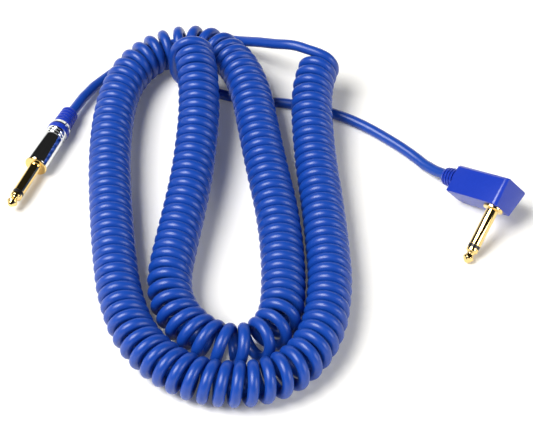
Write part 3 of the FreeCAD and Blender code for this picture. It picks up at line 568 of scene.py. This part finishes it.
bpy.ops.object.select_all(action="DESELECT")
bpy.ops.mesh.primitive_cube_add(size=1, location=(
    -HOUSING_DEPTH / 2 * MM, (HOUSING_TO_FAR_END - HOUSING_TO_CABLE_SIDE) / 2 * MM,
    (HOUSING_TOP - HOUSING_FRONT_BOTTOM) / 2 * MM))
housing = bpy.context.object
housing.name = "angle_housing_shell"
housing.scale = (
    HOUSING_DEPTH * MM, (HOUSING_TO_FAR_END + HOUSING_TO_CABLE_SIDE) * MM,
    (HOUSING_TOP + HOUSING_FRONT_BOTTOM) * MM)
bpy.ops.object.transform_apply(location=True, rotation=True, scale=True)
pick_edges(housing, lambda p: near(p.x, -HOUSING_DEPTH) and near(p.z, -HOUSING_FRONT_BOTTOM))
bpy.ops.transform.translate(value=(0, 0, (HOUSING_FRONT_BOTTOM - HOUSING_BACK_BOTTOM) * MM))
pick_edges(housing, lambda p: near(p.x, -HOUSING_DEPTH) and near(p.z, HOUSING_TOP))
bpy.ops.mesh.bevel(offset=BACK_BEVEL * MM, segments=1)
pick_edges(housing, lambda p: near(p.y, HOUSING_TO_FAR_END) and near(p.z, HOUSING_TOP))
bpy.ops.mesh.bevel(offset=END_CHAMFER * MM, segments=1)
pick_edges(
    housing, lambda p: near(p.y, HOUSING_TO_FAR_END - END_CHAMFER) and near(p.z, HOUSING_TOP))
bpy.ops.mesh.bevel(offset=END_ROUND * MM, segments=4)
pick_edges(
    housing,
    lambda p: near(p.y, -HOUSING_TO_CABLE_SIDE) and p.z < -HOUSING_FRONT_BOTTOM + NEAR)
bpy.ops.mesh.bevel(offset=HEEL_ROUND * MM, segments=8)
pick_edges(housing, lambda p: near(p.x, -HOUSING_DEPTH) and near(p.z, -HOUSING_BACK_BOTTOM))
bpy.ops.mesh.bevel(offset=UNDERSIDE_ROUND * MM, segments=4)
bpy.ops.object.mode_set(mode="OBJECT")
softened = housing.modifiers.new("softened edges", "BEVEL")
softened.width = LAST_BEVEL * MM
softened.segments = 3
softened.limit_method = "ANGLE"
softened.angle_limit = LAST_BEVEL_ABOVE
bpy.ops.object.modifier_apply(modifier=softened.name)
housing.data.transform(ANGLE_SEAT)
print("housing block has", len(housing.data.polygons), "faces")

# %% [markdown]
# The neck is part of the same moulding. Four ribs and a rounded end with narrow cuts between
# them let it bend with the cable. It is turned like the other round parts and then joined to
# the block.

# %% Neck of the right-angle plug
NECK_RIB_PITCH = 2.0
NECK_RIB_RADII = (5.4, 5.4, 5.3, 5.15)
NECK_BORE = 2.95
NECK_SUNK = 0.6
NECK_END = 10.0
NECK_SEAT = ANGLE_SEAT @ Matrix.Translation(
    (ANGLE_CABLE_DEPTH, -HOUSING_TO_CABLE_SIDE * MM, ANGLE_CABLE_HEIGHT)) @ Matrix.Rotation(
    -math.pi / 2, 4, "Z")

neck_form = [(-NECK_SUNK, NECK_BORE), (-NECK_SUNK, 5.3)]
for index, rib in enumerate(NECK_RIB_RADII):
    start = index * NECK_RIB_PITCH
    neck_form += [
        (start, rib - 0.1), (start + 0.15, rib), (start + 1.2, rib), (start + 1.36, rib - 0.12),
        (start + 1.4, rib - 0.85), (start + 1.95, rib - 0.85),
    ]
neck_form += [
    (8.0, 4.85), (8.15, 4.98), (8.7, 4.95), (9.3, 4.7), (9.75, 4.3), (9.95, 3.8),
    (NECK_END, 3.3), (NECK_END, NECK_BORE), (-NECK_SUNK, NECK_BORE),
]
neck = on_lathe("angle_neck", neck_form, NECK_SEAT)
bpy.ops.object.select_all(action="DESELECT")
neck.select_set(True)
housing.select_set(True)
bpy.context.view_layer.objects.active = housing
bpy.ops.object.join()
bpy.ops.object.shade_smooth_by_angle(angle=SMOOTH_BELOW)
dress(housing, "angle_housing", "root")

# %% [markdown]
# Every finish is built from a Principled shader and a few nodes. Colours are written as hex
# values, as in any paint program, and one function turns them into the linear numbers that
# the shader wants. Another adds a node with its settings and links, so that each material
# reads as a short list.

# %% Helpers for the finishes
NOISE_DETAIL = 3.0
DENT_DEPTH = 0.0001
LINE_DEPTH = 0.00005
LINE_LENGTH = 0.02


def linear(hex_colour):
    """An sRGB hex colour as the linear RGBA that shaders use."""
    parts = [int(hex_colour[index:index + 2], 16) / 255 for index in (1, 3, 5)]
    return [p / 12.92 if p <= 0.04045 else ((p + 0.055) / 1.055) ** 2.4 for p in parts] + [1.0]


def add_node(tree, kind, inputs=None, **settings):
    """Adds a node, with its settings, its input values and its input links."""
    node = tree.nodes.new(kind)
    for name, value in settings.items():
        setattr(node, name, value)
    for name, value in (inputs or {}).items():
        if isinstance(value, bpy.types.NodeSocket):
            tree.links.new(value, node.inputs[name])
        else:
            node.inputs[name].default_value = value
    return node


def new_material(name):
    """An empty material with its node tree and its output."""
    material = bpy.data.materials.new(name)
    material.use_nodes = True
    material.node_tree.nodes.clear()
    output = add_node(material.node_tree, "ShaderNodeOutputMaterial")
    return material, material.node_tree, output


def moulded(name, low, high, roughness, grain_mm, bump):
    """A moulded or extruded plastic, mottled a little between two colours."""
    material, tree, output = new_material(name)
    place = add_node(tree, "ShaderNodeTexCoord").outputs["Object"]
    noise = add_node(tree, "ShaderNodeTexNoise", {
        "Vector": place, "Scale": 1 / (grain_mm * MM), "Detail": NOISE_DETAIL, "Roughness": 0.6})
    colour = add_node(tree, "ShaderNodeMix", {
        0: noise.outputs["Fac"], 6: linear(low), 7: linear(high)}, data_type="RGBA")
    dents = add_node(tree, "ShaderNodeBump", {
        "Height": noise.outputs["Fac"], "Strength": bump, "Distance": DENT_DEPTH})
    shader = add_node(tree, "ShaderNodeBsdfPrincipled", {
        "Base Color": colour.outputs[2], "Roughness": roughness,
        "Normal": dents.outputs["Normal"]})
    tree.links.new(shader.outputs[0], output.inputs["Surface"])
    return material


def plated(name, low, high, roughness, seat, lines_mm, bump):
    """A plated metal, with the fine lines of its making drawn out along the plug's axis."""
    material, tree, output = new_material(name)
    place = add_node(tree, "ShaderNodeTexCoord").outputs["Object"]
    along = add_node(tree, "ShaderNodeMapping", {
        "Vector": place, "Location": seat.to_translation(), "Rotation": seat.to_euler(),
        "Scale": (LINE_LENGTH, lines_mm * MM, lines_mm * MM)}, vector_type="TEXTURE")
    lines = add_node(tree, "ShaderNodeTexNoise", {
        "Vector": along.outputs[0], "Scale": 1.0, "Detail": NOISE_DETAIL})
    colour = add_node(tree, "ShaderNodeMix", {
        0: lines.outputs["Fac"], 6: linear(low), 7: linear(high)}, data_type="RGBA")
    shine = add_node(tree, "ShaderNodeMapRange", {
        "Value": lines.outputs["Fac"], "To Min": roughness * 0.6, "To Max": roughness * 1.5})
    dents = add_node(tree, "ShaderNodeBump", {
        "Height": lines.outputs["Fac"], "Strength": bump, "Distance": LINE_DEPTH})
    shader = add_node(tree, "ShaderNodeBsdfPrincipled", {
        "Base Color": colour.outputs[2], "Metallic": 1.0, "Roughness": shine.outputs[0],
        "Normal": dents.outputs["Normal"]})
    tree.links.new(shader.outputs[0], output.inputs["Surface"])
    return material


# %% [markdown]
# The jacket is extruded PVC, which comes out of its die with a soft sheen and no grain. The
# plugs' plastic is moulded against satin steel, and is a little more violet. Chrome and gold
# are thin plating over turned brass, nearly a mirror, with faint lines from the drawn tube.

# %% Finishes
jacket_pvc = moulded("extruded_blue_pvc", "#103F9A", "#1447A8", 0.34, 6.0, 0.05)
plug_plastic = moulded("moulded_blue_plastic", "#1635A6", "#1A3BB2", 0.28, 1.2, 0.12)
straight_gold = plated(
    "polished_gold_plate", "#EBC678", "#F6DC9C", 0.07, STRAIGHT_SEAT, 0.3, 0.1)
angle_gold = plated(
    "bright_gold_plate", "#EBC678", "#F6DC9C", 0.07, ANGLE_SEAT, 0.3, 0.1)
chrome_plate = plated(
    "polished_chrome_plate", "#DEE0E0", "#F2F3F3", 0.06, STRAIGHT_SEAT, 0.35, 0.25)
tinned_brass = plated(
    "tinned_brass_strip", "#A8A598", "#BDBAAE", 0.35, STRAIGHT_SEAT, 0.5, 0.2)
bare_copper = plated(
    "stranded_bare_copper", "#B56A3C", "#CF8552", 0.3, STRAIGHT_SEAT, 0.2, 0.4)
black_insulator = moulded("moulded_black_plastic", "#0C0C0E", "#151517", 0.3, 0.8, 0.1)
white_liner = moulded("white_plastic_tube", "#CFCFC9", "#DADAD4", 0.5, 1.0, 0.1)
core_plastic = moulded("white_core_insulation", "#D8D6CC", "#E2E0D8", 0.45, 1.0, 0.1)

finish_of_slot = {
    "gold_plate": straight_gold, "chrome_plate": chrome_plate, "tinned_lug": tinned_brass,
    "black_insulator": black_insulator, "blue_plug_plastic": plug_plastic,
    "blue_jacket": jacket_pvc, "clear_liner": white_liner, "core_insulation": core_plastic,
    "bare_copper": bare_copper,
}
for part in frame["record"]["subparts"]:
    mesh = nodes[part["node"]].data
    mesh.materials.clear()
    mesh.materials.append(finish_of_slot[part["material_slot"]])
finish_of_piece = {
    cable: jacket_pvc, straight_tip: straight_gold, straight_sleeve: straight_gold,
    angle_tip: angle_gold, angle_sleeve: angle_gold, straight_ring: black_insulator,
    angle_ring: black_insulator, barrel: chrome_plate, grip_band: plug_plastic,
    boot: plug_plastic, housing: plug_plastic,
}
for piece, finish in finish_of_piece.items():
    piece.data.materials.clear()
    piece.data.materials.append(finish)
print("finished pieces:", len(finish_of_piece))

# %% [markdown]
# The table is a sheet of white paper. The lamps light it to white, so it needs next to no light
# of its own, and the shadows between the coils stay deep.

# %% Table
FLOOR_SIZE = 8.0
FLOOR_GLOW = 0.07
bpy.ops.object.select_all(action="DESELECT")
bpy.ops.mesh.primitive_plane_add(size=FLOOR_SIZE, location=(0, 0, 0))
floor = bpy.context.object
floor.name = "table"
table_white, tree, output = new_material("white_table")
path = add_node(tree, "ShaderNodeLightPath")
seen = add_node(tree, "ShaderNodeMath", {
    0: path.outputs["Is Camera Ray"], 1: path.outputs["Is Glossy Ray"]}, operation="MAXIMUM")
seen = add_node(tree, "ShaderNodeMath", {
    0: seen.outputs[0], 1: path.outputs["Is Transmission Ray"]}, operation="MAXIMUM")
paper = add_node(tree, "ShaderNodeBsdfDiffuse", {"Color": linear("#FAF8F2")})
glow = add_node(tree, "ShaderNodeMath", {
    0: seen.outputs[0], 1: FLOOR_GLOW}, operation="MULTIPLY")
glow = add_node(tree, "ShaderNodeEmission", {
    "Color": linear("#FFFFFF"), "Strength": glow.outputs[0]})
both = add_node(tree, "ShaderNodeAddShader", {0: paper.outputs[0], 1: glow.outputs[0]})
tree.links.new(both.outputs[0], output.inputs["Surface"])
floor.data.materials.append(table_white)

# %% [markdown]
# A product photograph like this has one large lamp above and to the left, which draws the long
# highlight on each turn and throws the shadow to the right, and a weaker one on the right that
# draws the second highlight. Chrome and gold show whatever stands round them: here a low white
# wall round the table, taller behind it, and a dark ceiling above. The world's strength draws
# them, from the height and the side that a reflection looks to.

# %% Lamps and room
KEY_AT = (-1.38, -0.4, 2.1)
KEY_SIZE = (1.6, 1.45)
KEY_POWER = 94
FILL_AT = (1.85, -1.05, 1.25)
FILL_SIZE = (1.3, 1.2)
FILL_POWER = 27
WALL_TOP = 0.06
BACK_WALL_TOP = 0.32
BACK_WALL_FROM = 0.7
BACK_WALL_FULL = 0.95
WALL_FADE = 0.20
WALL_LIGHT = 1.0
CEILING_LIGHT = 0.02


def area_lamp(name, at, size, power):
    """A soft rectangular lamp that points at the origin."""
    data = bpy.data.lights.new(name, "AREA")
    data.shape = "RECTANGLE"
    data.size, data.size_y = size
    data.energy = power
    lamp = bpy.data.objects.new(name, data)
    lamp.location = at
    lamp.rotation_euler = (-Vector(at)).to_track_quat("-Z", "Y").to_euler()
    scene.collection.objects.link(lamp)


area_lamp("key_lamp", KEY_AT, KEY_SIZE, KEY_POWER)
area_lamp("fill_lamp", FILL_AT, FILL_SIZE, FILL_POWER)
world = bpy.data.worlds.new("studio")
scene.world = world
world.use_nodes = True
room = world.node_tree
direction = add_node(room, "ShaderNodeTexCoord").outputs["Generated"]
heading = add_node(room, "ShaderNodeSeparateXYZ", {0: direction})
wall_top = add_node(room, "ShaderNodeMapRange", {
    "Value": heading.outputs["Y"], "From Min": BACK_WALL_FROM, "From Max": BACK_WALL_FULL,
    "To Min": WALL_TOP, "To Max": BACK_WALL_TOP})
ceiling_start = add_node(room, "ShaderNodeMath", {
    0: wall_top.outputs[0], 1: WALL_FADE}, operation="ADD")
brightness = add_node(room, "ShaderNodeMapRange", {
    "Value": heading.outputs["Z"], "From Min": wall_top.outputs[0],
    "From Max": ceiling_start.outputs[0],
    "To Min": WALL_LIGHT, "To Max": CEILING_LIGHT}, interpolation_type="SMOOTHSTEP")
sky = room.nodes["Background"]
sky.inputs["Color"].default_value = linear("#FFFFFF")
room.links.new(brightness.outputs[0], sky.inputs["Strength"])
scene.view_settings.view_transform = "Standard"
